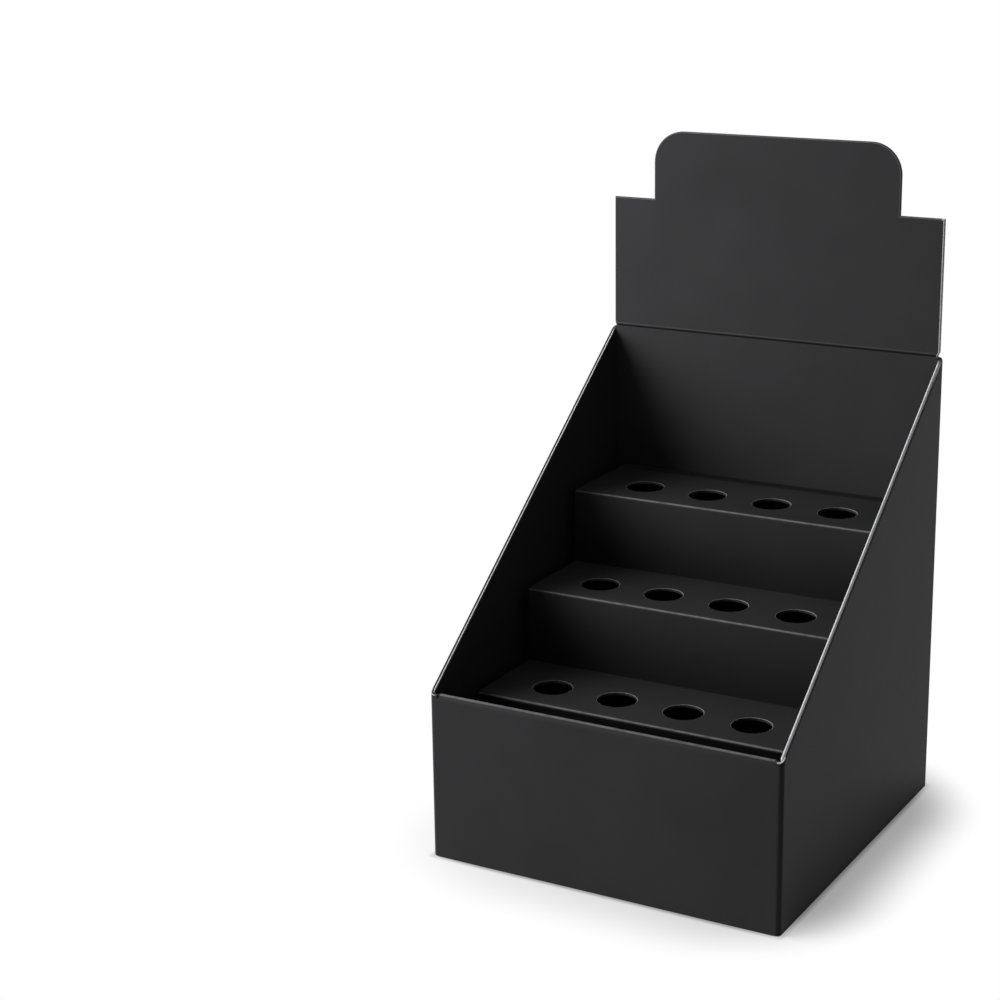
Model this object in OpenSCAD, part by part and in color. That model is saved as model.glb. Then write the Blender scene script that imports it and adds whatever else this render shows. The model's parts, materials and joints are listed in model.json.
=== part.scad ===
// Open counter display box of folded card, in millimetres.
// A tray with sloped sides and a header card holds a stepped insert whose round holes keep tubes upright.
// The front faces -Y, the box stands on Z = 0, and the origin is under the middle of its base.

/* [Tray] */
// Outside width of the tray
tray_w = 160; // [140:1:240]
// Outside depth of the tray, front to back
tray_d = 170; // [160:1:260]
// Thickness of the tray's card
card_t = 2; // [1:0.1:3]
// Outside radius of the four upright folds
corner_r = 2; // [1:0.1:4]
// Height of the front wall, where the side walls' slope starts
front_h = 74; // [50:1:100]
// Height of the side walls at the back, where the header starts
side_h = 200; // [170:1:260]

/* [Front roll] */
// Gap between the outer and inner layers of the front wall
roll_gap = 0.4; // [0.2:0.1:1]
// Distance that the rolled edge stops short of each outside corner
roll_end = 4; // [3:0.5:10]
// Gap between the inner layer's lower edge and the base
roll_clear = 1; // [0.5:0.5:10]

/* [Header] */
// Height of the header from the side walls' top to its shoulders
header_h = 60; // [30:1:100]
// Height of the tab above the shoulders
tab_h = 31; // [20:1:60]
// Width of the tab
tab_w = 117; // [60:1:130]
// Radius of the tab's two top corners
tab_r = 14; // [2:0.5:18]
// Height of the crease above the side walls' top
crease_lift = 1; // [0:0.5:10]
// Radius of the rounded crease
crease_r = 1; // [0.8:0.1:1.4]
// Height that the crease stands out in front, and its depth behind
crease_depth = 0.4; // [0.2:0.05:0.5]

/* [Base] */
// Width of the seam round the base panel's three free edges
seam_w = 0.5; // [0.3:0.1:1]
// Depth of that seam
seam_depth = 0.8; // [0.2:0.1:0.9]

/* [Insert] */
// Thickness of the insert's card
insert_t = 1.2; // [0.8:0.1:2]
// Outside radius of the insert's folds
insert_fold_r = 1.6; // [1.2:0.1:3]
// Number of treads
tread_count = 3; // [1:1:3]
// Height of the first tread above the table
first_tread_h = 67; // [40:1:90]
// Rise from one tread to the next
tread_rise = 33.6; // [15:0.1:50]
// Distance from one tread's front edge to the next one's
tread_run = 44.5; // [30:0.1:46]
// Open pocket between the front wall and the insert
front_pocket = 23; // [5:0.5:26]
// Gap between the insert and each side wall
side_play = 5.5; // [0.5:0.1:8]

/* [Holes] */
// Diameter of the holes
hole_d = 17.5; // [10:0.1:24]
// Distance between neighbouring holes in a row
hole_pitch = 31; // [25:0.1:34]
// Number of holes in each tread
hole_count = 4; // [1:1:4]
// Distance of the holes' centres behind the tread's front edge
hole_setback = 19.2; // [15:0.1:28]

/* [Hidden] */
tray_colour = [0.20, 0.20, 0.21];
insert_colour = [0.15, 0.15, 0.16];
$fn = 64;
// Steps in each small fold's quarter turn
fold_steps = 6;
// Overrun of a cutting shape past the faces that it cuts
over = 1;

front_y = -tray_d / 2;
back_y = tray_d / 2;
inside_w = tray_w - 2 * card_t;
inside_d = tray_d - 2 * card_t;
inside_back_y = back_y - card_t;
roll_r = card_t + roll_gap / 2;
roll_z = front_h - roll_r;
roll_w = tray_w - 2 * roll_end;
header_w = tray_w - 2 * corner_r;
shoulder_z = side_h + header_h;
top_z = shoulder_z + tab_h;
crease_z = side_h + crease_lift;
insert_w = inside_w - 2 * side_play;
skirt_y = front_y + 2 * roll_r + front_pocket;
last_tread = tread_count - 1;

// Place of a tread's front edge and height of its top, counted from the front
function tread_y(i) = skirt_y + i * tread_run;
function tread_z(i) = first_tread_h + i * tread_rise;

// Unit vector along a line
function unit(v) = v / norm(v);

// Points of a right-angled corner b, rounded to radius r between its neighbours a and c
function fold_arc(a, b, c, r) =
    let (u = unit(a - b), v = unit(c - b), middle = b + r * (u + v))
    [for (s = [0 : fold_steps])
        let (turn = 90 * s / fold_steps)
        middle - r * (cos(turn) * v + sin(turn) * u)];

// Corners [y, z, fold radius] of the stepped outline, moved inwards by inset
function step_corners(inset, outer_r, inner_r) = [
    [skirt_y + inset, card_t, 0],
    for (i = [0 : last_tread]) each [
        [tread_y(i) + inset, tread_z(i) - inset, outer_r],
        i < last_tread
            ? [tread_y(i + 1) + inset, tread_z(i) - inset, inner_r]
            : [inside_back_y - inset, tread_z(i) - inset, outer_r]
    ],
    [inside_back_y - inset, card_t, 0]
];

// Points of an outline whose corners are given as [y, z, fold radius]; the first and last stay sharp
function folded_points(corners) =
    let (flat = [for (c = corners) [c[0], c[1]]], last = len(flat) - 1)
    [flat[0],
     for (i = [1 : last - 1]) each fold_arc(flat[i - 1], flat[i], flat[i + 1], corners[i][2]),
     flat[last]];

// Stretches a flat YZ outline along X, half to each side
module along_x(length) {
    rotate([90, 0, 90])
        linear_extrude(length, center = true)
            children();
}

// Rectangle about the origin with rounded corners, or sharp ones where r is 0
module rounded_plan(w, d, r) {
    square([w - 2 * r, d], center = true);
    square([w, d - 2 * r], center = true);
    if (r > 0)
        for (x = [-1, 1], y = [-1, 1])
            translate([x * (w / 2 - r), y * (d / 2 - r)]) circle(r);
}

// Front, sides and back in one band, cut along the slope, with room for the roll
module wall_band() {
    difference() {
        intersection() {
            linear_extrude(side_h)
                difference() {
                    rounded_plan(tray_w, tray_d, corner_r);
                    rounded_plan(inside_w, inside_d, max(0, corner_r - card_t));
                }
            along_x(tray_w)
                polygon([
                    [front_y, 0],
                    [back_y, 0],
                    [back_y, side_h],
                    [front_y, front_h]
                ]);
        }
        translate([-roll_w / 2, front_y - over, roll_z])
            cube([roll_w, card_t + 2 * over, side_h]);
    }
}

// Front wall folded over at the top: outer layer, half-round roll, inner layer
module front_roll() {
    translate([0, front_y, 0])
        along_x(roll_w)
            difference() {
                union() {
                    square([2 * roll_r, roll_z]);
                    translate([roll_r, roll_z]) circle(roll_r);
                }
                translate([card_t, 0]) square([roll_gap, roll_z]);
                translate([roll_r, roll_z]) circle(roll_gap / 2);
                translate([card_t, 0]) square([roll_r + over, card_t + roll_clear]);
            }
}

module base_panel() {
    difference() {
        linear_extrude(card_t) rounded_plan(tray_w, tray_d, corner_r);
        translate([0, 0, -over])
            linear_extrude(seam_depth + over)
                difference() {
                    square([inside_w, inside_d], center = true);
                    translate([0, seam_w])
                        square([inside_w - 2 * seam_w, inside_d], center = true);
                }
    }
}

module header_outline() {
    translate([-header_w / 2, 0]) square([header_w, shoulder_z]);
    translate([-tab_w / 2, 0]) square([tab_w, top_z - tab_r]);
    translate([tab_r - tab_w / 2, 0]) square([tab_w - 2 * tab_r, top_z]);
    for (x = [-1, 1])
        translate([x * (tab_w / 2 - tab_r), top_z - tab_r]) circle(tab_r);
}

// A round bar along the crease; out is how far its middle lies behind the back wall's outside
module crease_bar(out) {
    translate([0, back_y + out, crease_z])
        rotate([0, 90, 0])
            cylinder(r = crease_r, h = tray_w, center = true);
}

// Back wall and header in one sheet, with the crease pressed in from behind and standing out in front
module back_and_header() {
    intersection() {
        difference() {
            union() {
                translate([0, back_y, 0])
                    rotate([90, 0, 0])
                        linear_extrude(card_t) header_outline();
                crease_bar(crease_r - crease_depth - card_t);
            }
            crease_bar(crease_r - crease_depth);
        }
        translate([-header_w / 2, inside_back_y - over, 0])
            cube([header_w, card_t + over, top_z]);
    }
}

module display_tray() {
    color(tray_colour)
        union() {
            wall_band();
            front_roll();
            base_panel();
            back_and_header();
        }
}

module tier_insert() {
    color(insert_colour)
        difference() {
            along_x(insert_w)
                difference() {
                    polygon(folded_points(step_corners(0, insert_fold_r, insert_fold_r - insert_t)));
                    polygon(folded_points(step_corners(insert_t, insert_fold_r - insert_t, insert_fold_r)));
                }
            for (i = [0 : last_tread], j = [0 : hole_count - 1])
                translate([
                    (j - (hole_count - 1) / 2) * hole_pitch,
                    tread_y(i) + hole_setback,
                    tread_z(i) - insert_t - over
                ])
                    cylinder(d = hole_d, h = insert_t + 2 * over);
        }
}

display_tray();
tier_insert();
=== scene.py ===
# %% [markdown]
# # A counter display box, folded from black card
#
# The object is a tray with sloped sides and a header card, and a stepped insert whose round holes
# keep tubes upright. The measured solids are loaded first and stay where they are. Everything made
# here stands in the same place, in metres, with the front facing -Y and the table at Z = 0.

# %% Load the measured solids
import json
import math

import bmesh
import bpy
from mathutils import Matrix, Vector


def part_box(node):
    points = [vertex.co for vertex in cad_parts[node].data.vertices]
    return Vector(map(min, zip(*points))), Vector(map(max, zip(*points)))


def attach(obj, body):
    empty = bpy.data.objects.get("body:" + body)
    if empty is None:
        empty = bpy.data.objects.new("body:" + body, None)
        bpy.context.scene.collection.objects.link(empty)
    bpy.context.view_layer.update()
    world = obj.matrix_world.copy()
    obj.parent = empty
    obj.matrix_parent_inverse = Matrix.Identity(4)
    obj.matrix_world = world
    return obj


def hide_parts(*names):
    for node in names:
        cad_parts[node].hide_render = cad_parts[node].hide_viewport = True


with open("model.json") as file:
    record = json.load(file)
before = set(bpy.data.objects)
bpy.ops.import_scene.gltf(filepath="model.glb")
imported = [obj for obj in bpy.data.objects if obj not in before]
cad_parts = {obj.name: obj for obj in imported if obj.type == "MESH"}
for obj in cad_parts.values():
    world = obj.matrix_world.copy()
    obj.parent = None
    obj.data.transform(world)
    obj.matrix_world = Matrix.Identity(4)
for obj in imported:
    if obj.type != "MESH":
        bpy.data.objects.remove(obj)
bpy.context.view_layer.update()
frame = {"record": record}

# %% [markdown]
# ## Sizes
#
# A size that the solids already hold is read from them, so that the looks follow the model. The
# boxes of the two pieces give the outside, and the record's holes give the treads: each row of
# holes has one height and one place, front to back.

# %% Read the outside and the treads
MM = 1000
tray_low, tray_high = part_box("display_tray")
insert_low, insert_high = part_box("tier_insert")
half_w = tray_high.x
front_y, back_y = tray_low.y, tray_high.y
depth = back_y - front_y
top_z = tray_high.z

holes = [mount for mount in frame["record"]["mounts"] if mount["kind"] == "bore"]
hole_rows = sorted({(hole["pos_m"][1], hole["pos_m"][2]) for hole in holes})
hole_r = holes[0]["dims"]["r_mm"] / MM
insert_t = holes[0]["dims"]["length_mm"] / MM
setback = hole_rows[0][0] - insert_low.y
treads = [(y - setback, z + insert_t / 2) for y, z in hole_rows]
print(f"tray {2 * half_w:.3f} x {depth:.3f} x {top_z:.3f} m, {len(holes)} holes")
print("front edge and height of each tread:", treads)

# %% [markdown]
# The rest of the tray's folding pattern is a handful of sizes. The card is 2 mm thick. A fold in
# such card keeps a small radius inside, and that radius also keeps the inside faces from shrinking
# to nothing.

# %% Sizes of the folding pattern
CARD = 0.002
FOLD_INSIDE = 0.00005
FOLD_R = CARD + FOLD_INSIDE
FRONT_H = 0.074
SIDE_H = 0.200
HEADER_HALF = 0.0785
CREASE_Z = 0.201
CREASE_HALF = 0.0008
ROLL_R = 0.0022
ROLL_HALF = 0.0764
print(f"card {CARD * MM:.1f} mm, outside radius of its folds {FOLD_R * MM:.2f} mm")

# %% [markdown]
# ## Wiring finishes
#
# A finish is a small network of nodes. Written one node at a time it is hard to read, so one class
# stands for a socket and lets sums be written as sums: `1 - mask` or `rough + 0.1 * grain` adds the
# Math nodes by itself.


# %% A socket that can be calculated with
class Wire:
    """An output socket. Arithmetic on it adds Math nodes to the same network."""

    def __init__(self, network, socket):
        self.network = network
        self.socket = socket

    def math(self, operation, *parts):
        return self.network.node("ShaderNodeMath", {"operation": operation}, dict(enumerate(parts)))

    def __add__(self, other):
        return self.math("ADD", self, other)

    def __sub__(self, other):
        return self.math("SUBTRACT", self, other)

    def __rsub__(self, other):
        return self.math("SUBTRACT", other, self)

    def __mul__(self, other):
        return self.math("MULTIPLY", self, other)

    def __mod__(self, other):
        return self.math("FLOORED_MODULO", self, other)

    def __abs__(self):
        return self.math("ABSOLUTE", self)

    def least(self, other):
        return self.math("MINIMUM", self, other)

    def most(self, other):
        return self.math("MAXIMUM", self, other)

    def root(self):
        return self.math("SQRT", self)

    __radd__ = __add__
    __rmul__ = __mul__


print("sockets take sums, products, remainders and limits")

# %% [markdown]
# Any other node comes from `node()`, which takes its type, its settings and its inputs. The other
# methods are short ways to what the finishes need most: the place of a point, noise, a soft step, a
# mix of two colours and a bump.


# %% The network of a finish
class Network:
    """The nodes of one material or world."""

    def __init__(self, owner):
        owner.use_nodes = True
        self.tree = owner.node_tree
        self.tree.nodes.clear()

    def node(self, kind, settings=None, inputs=None, output=0):
        """Adds a node, sets it up, fills or links its inputs, and returns one output."""
        made = self.tree.nodes.new(kind)
        for name, value in (settings or {}).items():
            setattr(made, name, value)
        for key, value in (inputs or {}).items():
            socket = self.find(made.inputs, key)
            if isinstance(value, Wire):
                self.tree.links.new(value.socket, socket)
            else:
                socket.default_value = value
        return Wire(self, self.find(made.outputs, output)) if len(made.outputs) else None

    @staticmethod
    def find(sockets, key):
        """A socket by its number, or by its identifier or name."""
        if isinstance(key, int):
            return sockets[key]
        return next(s for s in sockets if key in (s.identifier, s.name))

    def place(self):
        """Where a point lies on the piece, as x, y and z in millimetres."""
        at = self.node("ShaderNodeTexCoord", output="Object")
        return [
            self.node("ShaderNodeSeparateXYZ", inputs={0: at}, output=axis) * MM
            for axis in "XYZ"
        ]

    def grain(self, size, detail=2.0):
        """Cloudy noise from 0 to 1 whose patches are about the given size in metres."""
        at = self.node("ShaderNodeTexCoord", output="Object")
        inputs = {"Vector": at, "Scale": 1 / size, "Detail": detail}
        return self.node("ShaderNodeTexNoise", inputs=inputs)

    def step(self, value, low, high):
        """0 below low, 1 above high and a soft change between them."""
        inputs = {"Value": value, "From Min": low, "From Max": high}
        return self.node("ShaderNodeMapRange", {"interpolation_type": "SMOOTHSTEP"}, inputs)

    def mix(self, share, first, second):
        """A colour that goes from first to second as the share goes from 0 to 1."""
        inputs = {"Factor_Float": share, "A_Color": first, "B_Color": second}
        return self.node("ShaderNodeMix", {"data_type": "RGBA"}, inputs, "Result_Color")

    def bump(self, height, strength, distance):
        """A normal that follows a height, given in shares of the distance in metres."""
        inputs = {"Height": height, "Strength": strength, "Distance": distance}
        return self.node("ShaderNodeBump", inputs=inputs)

    def send(self, kind, shader):
        """Links the finished shader to the output node."""
        self.node(kind, inputs={"Surface": shader})


def grey(level, cool=1.05):
    """A neutral colour with a little more blue."""
    return (level, level, level * cool, 1)


def new_finish(name):
    material = bpy.data.materials.new(name)
    return material, Network(material)


print("wiring ready")

# %% [markdown]
# ## Black card
#
# The card is a smooth black liner glued over a grey core. The liner has a faint sheen and is duller
# inside the tray. It is a little cloudy, a few centimetres from patch to patch, and has fine paper
# fibre. In places its colour is darkened, mostly as painted shade, and in others it is turned grey
# as a painted highlight, partly wear. An image could hold all that, but a network follows the sizes
# above and stays sharp at any distance.

# %% The liner
SHEEN = 0.04
CLOUDY = 0.18
CLOUD_SIZE = 0.035
FIBRE_SIZE = 0.0007
FIBRE_HEIGHT = 0.0001
BREAK_SIZE = 0.004
# The next two colours: the grey of a painted highlight along folds, partly wear, and the black of
# darkening, mostly painted shade.
LINER_HIGHLIGHT_AND_WEAR = grey(0.135, 1.02)
LINER_DARKENED = grey(0.004)


def liner(name, tone, rough, lightened_mask, darkened_mask):
    """Black liner. The masks take the network and give a point's lightened share, a painted highlight
    partly from wear, and its darkened share, mostly painted shade.
    """
    material, net = new_finish(name)
    cloud = net.grain(CLOUD_SIZE, 3.0)
    fibre = net.grain(FIBRE_SIZE)
    breaks = net.step(net.grain(BREAK_SIZE, 3.0), 0.25, 0.6)
    # Lightening is a painted highlight, broken up like worn ink; darkening is mostly painted shade.
    lightened = lightened_mask(net) * (0.55 + 0.45 * breaks)
    darkened = darkened_mask(net)
    colour = net.mix(cloud, grey(tone * (1 - CLOUDY)), grey(tone * (1 + CLOUDY)))
    colour = net.mix(darkened, colour, LINER_DARKENED)
    colour = net.mix(lightened, colour, LINER_HIGHLIGHT_AND_WEAR)
    shader = net.node("ShaderNodeBsdfPrincipled", inputs={
        "Base Color": colour,
        "Roughness": rough + 0.12 * fibre + 0.1 * darkened + 0.1 * lightened,
        "Specular IOR Level": SHEEN,
        "Normal": net.bump(fibre, 0.08, FIBRE_HEIGHT),
    })
    net.send("ShaderNodeOutputMaterial", shader)
    print("finish:", name)
    return material


print("liner: cloudy by", CLOUDY, "of its tone")

# %% [markdown]
# A mask says how much a point is lightened or darkened, from where the point lies on the piece. It
# could be painted by hand, but every fold and cut has its size above, so a few soft steps are
# enough. On the tray, the crest of the rolled front gets a painted highlight, partly wear, and the
# upper half of the crease a faint painted highlight. Painted shade darkens the upright folds and the
# lower half of the crease, and a dark line runs on the outside just below the cut.

# %% Where the tray's liner is rubbed or pressed
# Shares of painted highlight and painted shade at the crease, of painted shade in the upright folds,
# and of the dark line below the cut on the sides and on the front.
CREASE_HIGHLIGHT, CREASE_SHADE = 0.1, 0.7
UPRIGHT_SHADE = 0.1
DARK_LINE_ON_SIDES, DARK_LINE_ON_FRONT = 0.95, 0.25


def band(net, value, middle, half, soft):
    """1 within half of the middle, fading to 0 over the soft width."""
    return 1 - net.step(abs(value - middle), half, half + soft)


def roll_highlight_and_wear(net):
    """A painted highlight, partly wear, on the crest of the rolled front edge, between its two ends."""
    x, y, z = net.place()
    roll_back = (front_y + 2 * ROLL_R) * MM
    crest = net.step(z, FRONT_H * MM - 0.5, FRONT_H * MM - 0.1)
    near_front = 1 - net.step(y, roll_back + 0.2, roll_back + 0.6)
    between = 1 - net.step(abs(x), ROLL_HALF * MM - 0.8, ROLL_HALF * MM - 0.2)
    return crest * near_front * between


def crease_painted_highlight(net):
    """A painted highlight along the upper half of the crease."""
    _, _, z = net.place()
    return CREASE_HIGHLIGHT * band(net, z, (CREASE_Z + CREASE_HALF / 2) * MM, 0.25, 0.2)


def wall_depth(net):
    """How far a point lies inside the tray's outline, in millimetres."""
    x, y, _ = net.place()
    return (half_w * MM - abs(x)).least(depth / 2 * MM - abs(y))


def from_corner(net):
    """How far a point lies from the nearest upright corner, along x or y, in millimetres."""
    x, y, _ = net.place()
    return (half_w * MM - abs(x)).most(depth / 2 * MM - abs(y))


def uprights_painted_shade(net):
    """Painted shade in the four upright folds."""
    return UPRIGHT_SHADE * (1 - net.step(from_corner(net), 1.2, 2.8))


def inside_painted_shade(net):
    """Painted shade in the upright folds and on the lower half of the crease."""
    _, _, z = net.place()
    crease = CREASE_SHADE * band(net, z, (CREASE_Z - CREASE_HALF / 2) * MM, 0.4, 0.3)
    return uprights_painted_shade(net).most(crease)


def outside_shade_and_dark_line(net):
    """Painted shade in the upright folds, and a dark line below the slopes and, fainter, below the
    roll.
    """
    x, y, z = net.place()
    rise = (SIDE_H - FRONT_H) / depth
    below_cut = (FRONT_H - front_y * rise) * MM + rise * y - z
    on_sides = DARK_LINE_ON_SIDES * net.step(abs(x), half_w * MM - 1, half_w * MM - 0.4)
    on_front = DARK_LINE_ON_FRONT * (1 - net.step(y, front_y * MM + 1, front_y * MM + 2.5))
    dark_line = band(net, below_cut, 0, 1.1, 0.9) * on_sides.most(on_front)
    return uprights_painted_shade(net).most(dark_line)


print("masks of the tray's liner ready")

# %% [markdown]
# The insert gets a painted highlight, partly wear, along the front fold of each tread. Its risers
# are darkened with painted shade, most at their foot, and its skirt, deep in the pocket's shade, is
# painted blackest. Each step could have masks of its own, but all the steps are alike, so a
# remainder repeats those of one step.

# %% Where the insert's liner is rubbed or pressed
# Shares of painted shade on a riser, at its foot and at its top.
RISER_FOOT, RISER_TOP = 0.65, 0.1


def along_steps(net):
    """The way from a tread's front fold over the tread and up the riser, and its length, in mm."""
    _, y, z = net.place()
    pitch = (sum(treads[1]) - sum(treads[0])) * MM
    return (y + z - sum(treads[0]) * MM) % pitch, pitch


def insert_highlight_and_wear(net):
    """A painted highlight, partly wear, along the front fold of each tread."""
    way, pitch = along_steps(net)
    return 1 - net.step(way.least(pitch - way), 0.3, 0.75)


def insert_painted_shade(net):
    """Painted shade on the risers, most at their foot, and on the skirt."""
    _, _, z = net.place()
    way, pitch = along_steps(net)
    run = (treads[1][0] - treads[0][0]) * MM
    skirt_top = treads[0][1] * MM
    share = RISER_FOOT - (RISER_FOOT - RISER_TOP) * net.step(way, run, pitch)
    riser = net.step(way, run - 0.6, run + 0.2) * share
    # The skirt is painted nearly black, as the shade of the pocket.
    skirt = 1 - net.step(z, skirt_top - 1.4, skirt_top - 0.9)
    return riser.most(skirt)


print("masks of the insert's liner ready")

# %% [markdown]
# The same liner then serves three times: outside the tray, duller inside it, and a little blacker
# on the insert.

# %% The three liners
OUTSIDE_TONE, OUTSIDE_ROUGH = 0.03, 0.4
INSIDE_TONE, INSIDE_ROUGH = 0.031, 0.5
INSERT_TONE = 0.025
tray_outside = liner("tray_outside_liner", OUTSIDE_TONE, OUTSIDE_ROUGH, roll_highlight_and_wear, outside_shade_and_dark_line)
tray_inside = liner("tray_inside_liner", INSIDE_TONE, INSIDE_ROUGH, crease_painted_highlight, inside_painted_shade)
insert_liner = liner("insert_black_liner", INSERT_TONE, INSIDE_ROUGH, insert_highlight_and_wear, insert_painted_shade)

# %% [markdown]
# ## Cut edges
#
# A knife leaves three things at an edge: the grey, stippled core, and a sharp corner on each side
# of it. Along the slopes the inner half of the cut is rubbed pale by hands and tubes. Its outer
# half shows the bare core on the right, and on the left black ink has run into it. The outside
# corner keeps its black liner, apart from the tips where a slope starts and ends. The header's top
# edges are inked too, and its two upright edges show the core. On the right one the core and its
# inner corner are painted near white, as painted light from the right. Masks by place serve here
# as well.

# %% Where a cut is bare or rubbed
TIP_REACH = 9
TIP_SHARE = 0.5


def on_header(net):
    _, _, z = net.place()
    return net.step(z, SIDE_H * MM - 0.5, SIDE_H * MM + 0.5)


def on_slopes(net):
    """The cut from just above the front corners to just below the header's foot."""
    _, _, z = net.place()
    above_front = net.step(z, FRONT_H * MM + 0.2, FRONT_H * MM + 0.8)
    below_header = 1 - net.step(z, SIDE_H * MM - 3, SIDE_H * MM - 1)
    return above_front * below_header


def on_right(net):
    x, _, _ = net.place()
    return net.step(x, -1, 1)


def header_sides(net):
    x, _, _ = net.place()
    return on_header(net) * net.step(abs(x), HEADER_HALF * MM - 1.5, HEADER_HALF * MM - 1)


def worn_tips(net):
    """The front corners at their top and foot, less on the left, and the right slope's upper end."""
    _, y, z = net.place()
    from_back = abs(y - back_y * MM) + abs(z - SIDE_H * MM)
    at_front = 1 - net.step(z, FRONT_H * MM + TIP_REACH * 0.4, FRONT_H * MM + TIP_REACH)
    front_tip = at_front * (1 - net.step(from_corner(net), 2.3, 2.9))
    back_tip = on_slopes(net) * (1 - net.step(from_back, TIP_REACH, TIP_REACH * 3))
    front_share = TIP_SHARE + (1 - TIP_SHARE) * on_right(net)
    return front_tip * front_share + TIP_SHARE * back_tip * on_right(net)


print("masks of the cuts ready")

# %% [markdown]
# The core and its two corners share one dull finish and differ only in colour. Stipple is fine
# noise in two greys, and coarser noise breaks up a rubbed line, so that no stretch of it looks
# drawn.

# %% The core and its corners
CUT_ROUGH, CUT_SHEEN = 0.75, 0.2
CUT_GRAIN, STIPPLE_SIZE, SCUFF_SIZE = 0.0006, 0.0005, 0.003
CORE_DARK, CORE_PALE = grey(0.1), grey(0.24)
# Near white: painted light on the header's right upright cut.
HEADER_CUT_PAINTED_LIGHT = grey(0.95, 1.0)
CORE_INKED = grey(0.035)
CORNER_DARK = grey(0.008)
CORNER_TOP = grey(0.08)
# A pale corner: wear on the slopes, tips and hole rims, and painted light on the header's right upright
# cut.
CORNER_WEAR_AND_PAINTED_LIGHT = grey(0.6, 1.0)
INNER_HALF, RIGHT_SHIFT = 1.0, 0.15


def cut_edge(name, colour):
    """The finish of a cut. The colour takes the network and gives the colour of a point."""
    material, net = new_finish(name)
    shader = net.node("ShaderNodeBsdfPrincipled", inputs={
        "Base Color": colour(net),
        "Roughness": CUT_ROUGH,
        "Specular IOR Level": CUT_SHEEN,
        "Normal": net.bump(net.grain(CUT_GRAIN), 0.15, FIBRE_HEIGHT),
    })
    net.send("ShaderNodeOutputMaterial", shader)
    print("finish:", name)
    return material


def scuffed(net):
    """Breaks in a rubbed line."""
    return 0.75 + 0.25 * net.step(net.grain(SCUFF_SIZE, 3.0), 0.3, 0.6)


def core_colour(net):
    stipple = net.step(net.grain(STIPPLE_SIZE), 0.25, 0.75)
    board = net.mix(stipple, CORE_DARK, CORE_PALE)
    # The header's right upright cut is painted near white, as painted light.
    board = net.mix(header_sides(net) * on_right(net), board, HEADER_CUT_PAINTED_LIGHT)
    bare = header_sides(net) + on_slopes(net) * on_right(net)
    inked = net.mix(on_slopes(net), CORE_INKED, CORNER_DARK)
    start = INNER_HALF + RIGHT_SHIFT * on_right(net)
    lightened = net.step(wall_depth(net), start, start + 0.2) * on_slopes(net) * scuffed(net)
    return net.mix(lightened, net.mix(bare, inked, board), CORNER_WEAR_AND_PAINTED_LIGHT)


def inner_corner_colour(net):
    # On the header's right upright cut the inner corner is painted pale, as painted light; on the right
    # slope it is worn.
    worn_and_lit = on_right(net) * (header_sides(net) + on_slopes(net) * scuffed(net))
    return net.mix(worn_and_lit, net.mix(on_header(net), CORNER_DARK, CORNER_TOP), CORNER_WEAR_AND_PAINTED_LIGHT)


def outer_corner_colour(net):
    _, y, z = net.place()
    on_front = 1 - net.step(y, front_y * MM + 0.9, front_y * MM + 1)
    liner_kept = net.mix(on_front * net.step(z, 1, 2), CORNER_DARK, grey(OUTSIDE_TONE))
    return net.mix(worn_tips(net) * scuffed(net), liner_kept, CORNER_WEAR_AND_PAINTED_LIGHT)


tray_core = cut_edge("tray_cut_core", core_colour)
inner_corner = cut_edge("tray_inner_corner", inner_corner_colour)
outer_corner = cut_edge("tray_outer_corner", outer_corner_colour)

# %% [markdown]
# A punched hole is a cut as well. Its wall is painted nearly black, as painted shade inside the
# hole, and only its upper rim is rubbed a little, so it gets a core and a corner of its own.

# %% The walls and rims of the holes
# The wall colours are painted shade: nearly black, with a little noise.
HOLE_WALL_SHADE_DARK, HOLE_WALL_SHADE_PALE = grey(0.005), grey(0.02)
RIM_SHARE = 0.35


def hole_wall_shade_colour(net):
    return net.mix(net.grain(STIPPLE_SIZE), HOLE_WALL_SHADE_DARK, HOLE_WALL_SHADE_PALE)


def rim_colour(net):
    """The rims of the holes are rubbed. The insert's two sides are not."""
    x, _, _ = net.place()
    rim = 1 - net.step(abs(x), insert_high.x * MM - 4, insert_high.x * MM - 3)
    return net.mix(RIM_SHARE * rim * scuffed(net), CORNER_DARK, CORNER_WEAR_AND_PAINTED_LIGHT)


insert_cut_shade = cut_edge("insert_cut_painted_shade", hole_wall_shade_colour)
rim_corner = cut_edge("hole_rim_corner", rim_colour)

# %% [markdown]
# ## Hands for modelling
#
# Operators act on what is selected. `pick` is the hand that selects: it takes a test on the middle
# of each vertex, edge or face and on its direction, which is an edge's line or a normal.
# `pick_between` takes the edges where two finishes meet, and can spare some of them.

# %% Selecting by place
NEAR = 1e-5
FLAT = 0.999


def edited():
    return bmesh.from_edit_mesh(bpy.context.edit_object.data)


def same(a, b):
    return abs(a - b) < NEAR


def middle_of(edge):
    return (edge.verts[0].co + edge.verts[1].co) / 2


def line_of(edge):
    return (edge.verts[1].co - edge.verts[0].co).normalized()


def select_only(kind, parts):
    bpy.ops.mesh.select_mode(type=kind)
    bpy.ops.mesh.select_all(action="DESELECT")
    for part in parts:
        part.select_set(True)
    edited().select_flush_mode()
    return len(parts)


def pick(kind, test):
    """Selects the vertices, edges or faces that pass test(middle, direction), and counts them."""
    mesh = edited()
    if kind == "VERT":
        found = [v for v in mesh.verts if test(v.co, v.normal)]
    elif kind == "EDGE":
        found = [e for e in mesh.edges if test(middle_of(e), line_of(e))]
    else:
        mesh.normal_update()
        found = [f for f in mesh.faces if test(f.calc_center_bounds(), f.normal)]
    return select_only(kind, found)


def pick_between(one, other, spare):
    """Selects the edges between the faces of two slots, but not where spare(middle) is true."""
    found = [
        e for e in edited().edges
        if {f.material_index for f in e.link_faces} == {one, other} and not spare(middle_of(e))
    ]
    return select_only("EDGE", found)


print("selecting by place, to", NEAR, "m")

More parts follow.
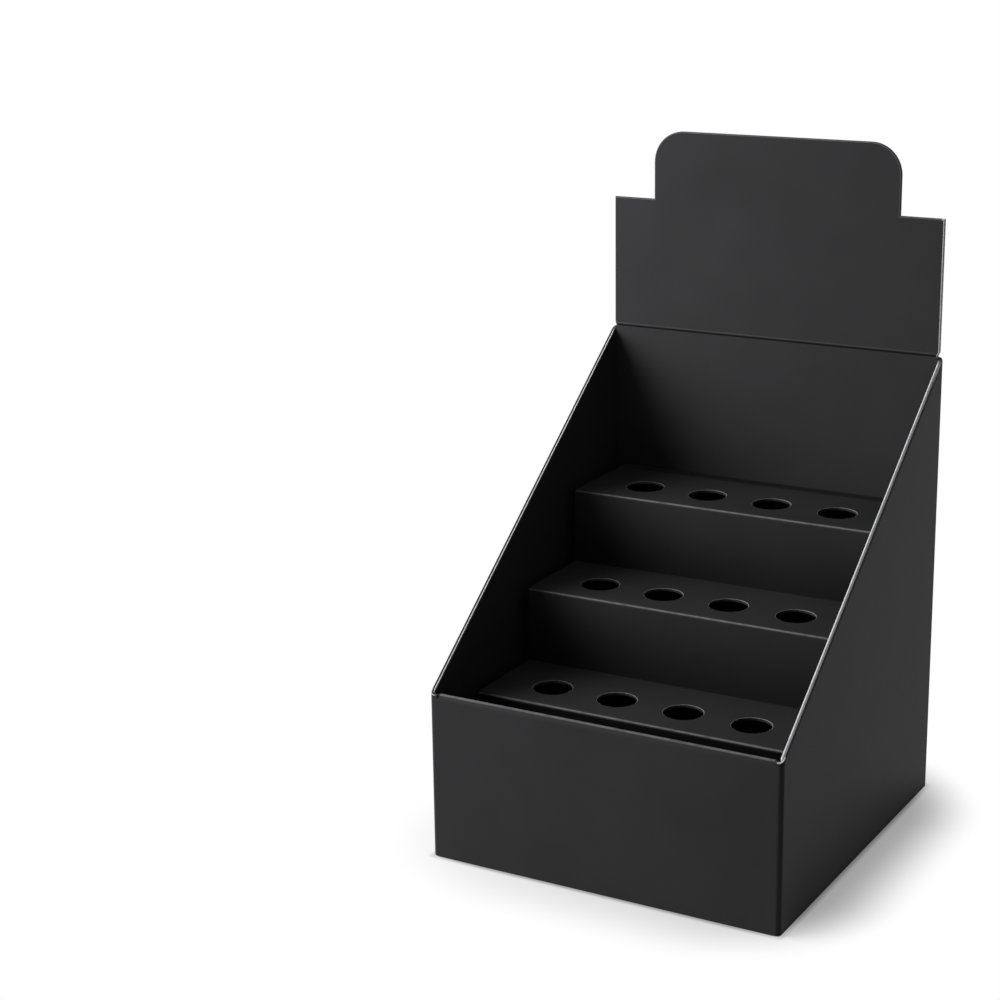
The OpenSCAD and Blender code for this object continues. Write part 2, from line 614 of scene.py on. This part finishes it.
# %% [markdown]
# The other hands cut, pull and turn what is selected, and `card_piece` opens a new piece with its
# finishes in numbered slots. Both pieces are made of card, so both use the same five slots.

# %% Cutting, pulling and turning
FOLD_STEPS = 6
OUTSIDE, CORE, INSIDE, INNER_CORNER, OUTER_CORNER = range(5)


def cut(at, facing, drop=False):
    """Cuts the selected faces along a plane. Drop takes away the side that the plane faces."""
    bpy.ops.mesh.bisect(plane_co=at, plane_no=facing, clear_outer=drop, threshold=NEAR / 10)


def cut_upright(places, test):
    """Cuts the faces that pass the test along upright planes, one at each x."""
    for x in places:
        pick("FACE", test)
        cut((x, 0, 0), (1, 0, 0))


def pull(x=0.0, y=0.0, z=0.0):
    """Extrudes what is selected."""
    bpy.ops.mesh.extrude_region_move(TRANSFORM_OT_translate={"value": (x, y, z)})


def roll_over(angle, y, z):
    """Turns the selected edge round a line along X: up and over in front, or under at the back."""
    steps = round(angle / (math.pi / 2)) * FOLD_STEPS
    bpy.ops.mesh.spin(steps=steps, angle=angle, center=(0, y, z), axis=(1, 0, 0))


def card_piece(name, finishes):
    """Names the new primitive, freezes its place and size, gives it its finishes and opens it."""
    piece = bpy.context.object
    piece.name = name
    piece.data.name = name
    bpy.ops.object.transform_apply(location=True, rotation=True, scale=True)
    for finish in finishes:
        piece.data.materials.append(finish)
    bpy.ops.object.mode_set(mode="EDIT")
    return piece


bpy.ops.object.select_all(action="DESELECT")
print("hands ready")

# %% [markdown]
# ## The tray: one sheet, folded
#
# The real tray is one flat blank of card. It could be made as solid walls put together, but a sheet
# with no thickness is nearer to how it is made: every fold is a turn in the sheet, every cut is an
# edge of it, and the card's thickness comes last, all at once. It starts as a cube without its lid
# and bottom, with four rounded upright folds.

# %% The band of four walls
bpy.ops.mesh.primitive_cube_add(size=1, location=(0, 0, SIDE_H / 2), scale=(2 * half_w, depth, SIDE_H))
tray = card_piece("folded_tray", [tray_outside, tray_core, tray_inside, inner_corner, outer_corner])
pick("FACE", lambda at, way: abs(way.z) > FLAT)
bpy.ops.mesh.delete(type="FACE")
pick("EDGE", lambda at, way: abs(way.z) > FLAT)
bpy.ops.mesh.bevel(offset=FOLD_R, segments=FOLD_STEPS, affect="EDGES")
print("band of walls:", len(edited().faces), "faces")

# %% [markdown]
# All four walls are cut at once along the slope, from the top of the front to the top of the back.
# One plane does it, so both sides get the same slope.

# %% The slope of the sides
bpy.ops.mesh.select_all(action="SELECT")
cut((0, front_y, FRONT_H), (0, FRONT_H - SIDE_H, depth), drop=True)
print("walls after the slope is cut:", len(edited().verts), "points")

# %% [markdown]
# ## The header
#
# The header is the back wall carried on upwards. It could be a second sheet set on top, but pulled
# from the wall's own edge it stays one card. Its foot starts between the two upright folds and
# widens a little. From there the edge is pulled up to the shoulders, the part between the shoulders
# is pulled up again as the tab, and the tab's two corners are rounded.

# %% Shoulders and tab
FOOT_HALF = 0.0776
FOOT_RISE = 0.0022
SHOULDER_Z = 0.260
TAB_HALF = 0.0585
TAB_R = 0.014
TAB_STEPS = 16
cut_upright((-FOOT_HALF, FOOT_HALF), lambda at, way: way.y > FLAT and abs(at.x) < FOOT_HALF)
pick("EDGE", lambda at, way: same(at.y, back_y) and same(at.z, SIDE_H) and same(at.x, 0))
pull(z=FOOT_RISE)
bpy.ops.transform.resize(value=(HEADER_HALF / FOOT_HALF, 1, 1))
pull(z=SHOULDER_Z - SIDE_H - FOOT_RISE)
cut_upright((-TAB_HALF, TAB_HALF), lambda at, way: at.z > SIDE_H)
pick("EDGE", lambda at, way: same(at.z, SHOULDER_Z) and same(at.x, 0))
pull(z=top_z - SHOULDER_Z)
pick("VERT", lambda at, way: same(at.z, top_z))
bpy.ops.mesh.bevel(offset=TAB_R, segments=TAB_STEPS, affect="VERTICES")
print("header up to", max(v.co.z for v in edited().verts))

# %% [markdown]
# ## The base and the rolled front
#
# Both are strips that turn round a fold and run on. At the back, the wall turns forward and becomes
# the base. At the front, the wall turns inwards over its own top and runs down again, so the front
# is two layers with a round, finger-safe edge. The strip that the fold takes up is cut away, and
# the edge left is spun round.

# %% The base
SEAM = 0.0005
base_half = half_w - CARD - SEAM
base_front_y = front_y + CARD + SEAM
base_back_y = back_y - FOLD_R
pick("FACE", lambda at, way: way.y > FLAT and at.z < SIDE_H)
cut((0, 0, FOLD_R), (0, 0, 1))
cut_upright(
    (-base_half, base_half),
    lambda at, way: way.y > FLAT and at.z < FOLD_R and abs(at.x) < base_half,
)
pick("FACE", lambda at, way: way.y > FLAT and at.z < FOLD_R)
bpy.ops.mesh.delete(type="FACE")
pick("EDGE", lambda at, way: same(at.z, FOLD_R) and same(at.y, back_y) and same(at.x, 0))
roll_over(math.pi / 2, base_back_y, FOLD_R)
pull(y=base_front_y - base_back_y)
print("base from", base_back_y, "to", base_front_y)

# %% The rolled front
ROLL_SLIT = 0.00005
ROLL_CLEAR = 0.001
roll_z = FRONT_H - ROLL_R
post_half = ROLL_HALF + ROLL_SLIT
pick("FACE", lambda at, way: way.y < -FLAT)
cut((0, 0, roll_z), (0, 0, 1))
cut_upright(
    (-post_half, -ROLL_HALF, ROLL_HALF, post_half),
    lambda at, way: way.y < -FLAT and at.z > roll_z,
)
pick("FACE", lambda at, way: way.y < -FLAT and at.z > roll_z and abs(at.x) < post_half)
bpy.ops.mesh.delete(type="FACE")
pick("EDGE", lambda at, way: same(at.z, roll_z) and same(at.y, front_y) and same(at.x, 0))
roll_over(math.pi, front_y + ROLL_R, roll_z)
pull(z=CARD + ROLL_CLEAR - roll_z)
print("sheet folded:", len(edited().faces), "faces")

# %% [markdown]
# ## Thickness and cut edges
#
# Now the sheet gets its card. Walls could be modelled with two sides from the start, but Solidify
# does it in one go: it grows the sheet inwards and gives its rim the slot of the grey core. The
# normals have to agree first, because they say which way inwards is.

# %% Helpers from sheet to card
EASE_STEPS = 2
SMOOTH_BELOW = math.radians(30)


def face_outwards(is_front):
    """Makes the sheet's faces agree, and turns them all if the front face looks inwards."""
    bpy.ops.mesh.select_all(action="SELECT")
    bpy.ops.mesh.normals_make_consistent(inside=False)
    mesh = edited()
    mesh.normal_update()
    front = next(f for f in mesh.faces if is_front(f.calc_center_bounds()))
    if front.normal.y > 0:
        bpy.ops.mesh.flip_normals()


def thicken(piece, thickness):
    """Gives the sheet its card, inwards, with the core on its rim."""
    bpy.ops.object.mode_set(mode="OBJECT")
    card = piece.modifiers.new("card", "SOLIDIFY")
    card.thickness = thickness
    card.offset = -1
    card.use_even_offset = True
    card.use_quality_normals = True
    card.material_offset = INSIDE
    card.material_offset_rim = CORE
    bpy.ops.object.modifier_apply(modifier=card.name)


def at_slit(at):
    """True for a place on the slit at either end of the roll."""
    beside_roll = ROLL_HALF - NEAR < abs(at.x) < post_half + NEAR
    return beside_roll and at.y < front_y + 2 * ROLL_R + NEAR


def ease(one, other, width, slot):
    """Takes the corner off the edges between two slots, with the finish of a third."""
    count = pick_between(one, other, at_slit)
    bpy.ops.mesh.bevel(
        offset=width, segments=EASE_STEPS, affect="EDGES", material=slot, clamp_overlap=False
    )
    return count


def smooth_folds(piece):
    """Smooth shading round the folds, weighted so that the flat faces stay flat."""
    bpy.ops.object.mode_set(mode="OBJECT")
    bpy.ops.object.shade_smooth_by_angle(angle=SMOOTH_BELOW)
    flat = piece.modifiers.new("flat", "WEIGHTED_NORMAL")
    flat.keep_sharp = True
    bpy.ops.object.modifier_apply(modifier=flat.name)


print("helpers from sheet to card ready")

# %% [markdown]
# The two corners along the tray's rim are then taken off a little, each with its own finish: those
# narrow faces are what catches the light along a real cut. The slit at each end of the roll stays
# sharp, because its sides lie close against each other and a wide groove would show.

# %% The tray's card and its corners
INNER_WIDTH = 0.0005
OUTER_WIDTH = 0.0004
face_outwards(lambda at: same(at.y, front_y) and same(at.x, 0))
thicken(tray, CARD)
bpy.ops.object.mode_set(mode="EDIT")
eased = ease(INSIDE, CORE, INNER_WIDTH, INNER_CORNER)
eased += ease(OUTSIDE, CORE, OUTER_WIDTH, OUTER_CORNER)
print("tray:", eased, "edges eased")

# %% [markdown]
# ## The crease
#
# The header's foot is creased: a low ridge in front and a groove behind, pressed into the finished
# card. A ridge in the thin sheet would fold over itself when the card gets its thickness, so it
# comes now. A few lines are cut round the header, and each is pushed forward along a round arc.

# %% Press the crease
CREASE_DEPTH = 0.0004
CREASE_STEPS = 4
crease_r = (CREASE_HALF ** 2 + CREASE_DEPTH ** 2) / (2 * CREASE_DEPTH)
offsets = [CREASE_HALF * row / CREASE_STEPS for row in range(-CREASE_STEPS, CREASE_STEPS + 1)]
for offset in offsets:
    pick("FACE", lambda at, way: SIDE_H < at.z < SHOULDER_Z)
    cut((0, 0, CREASE_Z + offset), (0, 0, 1))
for offset in offsets:
    pick("VERT", lambda at, way: same(at.z, CREASE_Z + offset))
    push = math.sqrt(crease_r ** 2 - offset ** 2) - crease_r + CREASE_DEPTH
    bpy.ops.transform.translate(value=(0, -push, 0))
smooth_folds(tray)
print(f"crease pushed out {CREASE_DEPTH * MM} mm, tray: {len(tray.data.polygons)} faces")

# %% [markdown]
# ## The insert: a flight of steps
#
# The insert is a second sheet, folded back and forth. Boxes could be stacked to the same outline,
# but they would be closed below, and the real insert is hollow. It starts as its front skirt, and
# each further stretch is pulled from the last edge: back for a tread, up for a riser, and down
# again behind the last one. The folds are rounded, and then the sheet gets its card.

# %% The folded steps
skirt_y, skirt_top = treads[0]
skirt_h = skirt_top - insert_low.z
bpy.ops.object.select_all(action="DESELECT")
bpy.ops.mesh.primitive_plane_add(
    size=1,
    location=(0, skirt_y, insert_low.z + skirt_h / 2),
    rotation=(math.pi / 2, 0, 0),
)
bpy.context.object.scale = (2 * insert_high.x, skirt_h, 1)
insert = card_piece("stepped_insert", [insert_liner, insert_cut_shade, insert_liner, rim_corner, rim_corner])
pick("EDGE", lambda at, way: same(at.z, skirt_top))
for (y, z), (next_y, next_z) in zip(treads, treads[1:]):
    pull(y=next_y - y)
    pull(z=next_z - z)
last_y, last_z = treads[-1]
pull(y=insert_high.y - last_y)
pull(z=insert_low.z - last_z)
print("insert sheet:", len(edited().faces), "stretches")

# %% The folds and the card
INSERT_FOLD_R = 0.0016
outer_folds = [*treads, (insert_high.y, last_z)]
inner_folds = [(after[0], before[1]) for before, after in zip(treads, treads[1:])]
for folds, radius in ((outer_folds, INSERT_FOLD_R), (inner_folds, INSERT_FOLD_R - insert_t)):
    pick("EDGE", lambda at, way: any(same(at.y, y) and same(at.z, z) for y, z in folds))
    bpy.ops.mesh.bevel(offset=radius, segments=FOLD_STEPS, affect="EDGES")
face_outwards(lambda at: same(at.y, skirt_y))
thicken(insert, insert_t)
print("insert card:", len(insert.data.polygons), "faces")

# %% [markdown]
# ## The punched holes
#
# Each hole could be cut by hand, but a punch does the same: one cylinder is made at the first hole,
# copied to the others and taken away from the card in one go. Its faces carry the slot of the core,
# so the walls of the holes do too, and their upper rims get a narrow rubbed corner.

# %% A punch at every hole
PUNCH_SIDES = 64
RIM_WIDTH = 0.0002
bpy.ops.object.select_all(action="DESELECT")
bpy.ops.mesh.primitive_cylinder_add(
    vertices=PUNCH_SIDES, radius=hole_r - RIM_WIDTH, depth=4 * insert_t, location=holes[0]["pos_m"]
)
punch = card_piece("punch", insert.data.materials)
select_only("FACE", edited().faces)
for face in edited().faces:
    face.material_index = CORE
for before, after in zip(holes, holes[1:]):
    step = Vector(after["pos_m"]) - Vector(before["pos_m"])
    bpy.ops.mesh.duplicate_move(TRANSFORM_OT_translate={"value": step})
bpy.ops.object.mode_set(mode="OBJECT")
print("punches:", len(holes))

# %% Punch, then ease the rims
bpy.context.view_layer.objects.active = insert
bore = insert.modifiers.new("holes", "BOOLEAN")
bore.operation = "DIFFERENCE"
bore.solver = "EXACT"
bore.object = punch
bpy.ops.object.modifier_apply(modifier=bore.name)
bpy.data.objects.remove(punch)
insert.select_set(True)
bpy.ops.object.mode_set(mode="EDIT")
eased = ease(OUTSIDE, CORE, RIM_WIDTH, OUTER_CORNER)
smooth_folds(insert)
print("insert:", eased, "rim edges eased,", len(insert.data.polygons), "faces")

# %% [markdown]
# ## Putting the pieces in the frame
#
# Each piece stands for the solid that it was made from. The solid is hidden and the piece moves
# with the same body.

# %% Ride and replace
for piece, node, slot in ((tray, "display_tray", "tray_card"), (insert, "tier_insert", "insert_card")):
    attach(piece, "root")
    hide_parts(node)
    print(piece.name, "stands for", node)

# %% [markdown]
# ## Surroundings
#
# A black object on white shows its sheen only where something bright is reflected. Real white walls
# would also flood it with light, so the surroundings are white to the eye and in reflections, but
# give little light of their own.

# %% White surroundings
AMBIENT = 0.1
WHITE = (1, 1, 1, 1)


def seen(net):
    """1 for what the eye, a reflection or glass shows, and 0 for light on its way to a surface."""
    rays = [f"Is {kind} Ray" for kind in ("Camera", "Glossy", "Transmission")]
    eye, mirror, glass = (net.node("ShaderNodeLightPath", output=ray) for ray in rays)
    return eye.most(mirror).most(glass)


world = bpy.data.worlds.new("white_surroundings")
bpy.context.scene.world = world
net = Network(world)
dim, bright = (
    net.node("ShaderNodeBackground", inputs={"Color": WHITE, "Strength": strength})
    for strength in (AMBIENT, 1)
)
shown = net.node("ShaderNodeMixShader", inputs={0: seen(net), 1: dim, 2: bright})
net.send("ShaderNodeOutputWorld", shown)
print("surroundings light the box at", AMBIENT, "of white")

# %% [markdown]
# ## Floor
#
# A matte floor alone would end in a grey horizon, so it fades into the white of the surroundings a
# few centimetres from the box. Nearer than that it takes the shadow. Along the box's foot and under
# it the floor is painted dark, as painted shade where hardly any light gets in.

# %% A floor with a shadow
FLOOR_SIZE = 12
FLOOR_TONE = 0.5
FLOOR_GLOW = 0.33
FADE_FROM, FADE_TO = 3, 38
FADE_ROUND = 45
CONTACT_SHARE, CONTACT_REACH = 0.5, 3


def from_footprint(net, rounding):
    """How far a floor point lies outside the footprint, rounded at its corners, in millimetres."""
    x, y, _ = net.place()
    over_x = (abs(x) - (half_w * MM - rounding)).most(0)
    over_y = (abs(y) - (depth / 2 * MM - rounding)).most(0)
    return (over_x * over_x + over_y * over_y).root() - rounding


bpy.ops.object.select_all(action="DESELECT")
bpy.ops.mesh.primitive_plane_add(size=FLOOR_SIZE, location=(0, 0, 0))
floor = bpy.context.object
floor.name = "floor"
floor_finish, net = new_finish("pale_floor")
far = net.step(from_footprint(net, FADE_ROUND), FADE_FROM, FADE_TO)
# Painted shade: black under the box and darker in a narrow band along its foot.
under = net.step(wall_depth(net), 0.5, 1.5)
beside = 1 - net.step(from_footprint(net, 0), 0, CONTACT_REACH)
contact = under.most(CONTACT_SHARE * beside)
matte = net.node("ShaderNodeBsdfDiffuse", inputs={"Color": grey(FLOOR_TONE, 1)})
black, near_glow, far_glow = (
    net.node("ShaderNodeEmission", inputs={"Strength": strength})
    for strength in (0, FLOOR_GLOW, 1)
)
near = net.node("ShaderNodeAddShader", inputs={0: matte, 1: near_glow})
shaded = net.node("ShaderNodeMixShader", inputs={0: contact, 1: near, 2: black})
faded = net.node("ShaderNodeMixShader", inputs={0: far, 1: shaded, 2: far_glow})
shown = net.node("ShaderNodeMixShader", inputs={0: seen(net), 1: matte, 2: faded})
net.send("ShaderNodeOutputMaterial", shown)
floor.data.materials.append(floor_finish)
print("floor white from", FADE_TO, "mm out")

# %% [markdown]
# ## Light
#
# One large soft box hangs to the upper left, a little in front. It leaves the left of the inside in
# shade and lays a soft shadow to the right. The rest is the white floor and surroundings.

# %% The soft box
KEY_PLACE = Vector((-0.71, -0.33, 0.43))
KEY_SIZE = 0.7
KEY_WATTS = 15.4
middle = Vector((0, 0, SIDE_H / 2))
bpy.ops.object.light_add(type="AREA", location=KEY_PLACE)
key = bpy.context.object
key.name = "key_soft_box"
key.data.shape = "SQUARE"
key.data.size = KEY_SIZE
key.data.energy = KEY_WATTS
key.rotation_euler = (middle - KEY_PLACE).to_track_quat("-Z", "Y").to_euler()
print(key.name, KEY_WATTS, "W at", KEY_PLACE[:])

# %% [markdown]
# ## Camera
#
# The camera stands in front, to the right and a little above, and is turned a touch clockwise. Its
# place and its two directions give its matrix: the columns are right, up and backwards.

# %% Camera
LENS = 81.06
SENSOR = 36
EYE = Vector((0.3907, -0.83378, 0.41626))
LOOK = Vector((-0.48218, 0.83004, -0.28023)).normalized()
UP = Vector((-0.12723, 0.25014, 0.95981))

right = LOOK.cross(UP).normalized()
up = right.cross(LOOK)
turn = Matrix((right, up, -LOOK)).transposed()
bpy.ops.object.camera_add()
camera = bpy.context.object
camera.data.lens = LENS
camera.data.sensor_width = SENSOR
camera.matrix_world = Matrix.Translation(EYE) @ turn.to_4x4()
bpy.context.scene.camera = camera
bpy.context.scene.view_settings.view_transform = "Standard"
print("camera at", EYE[:])
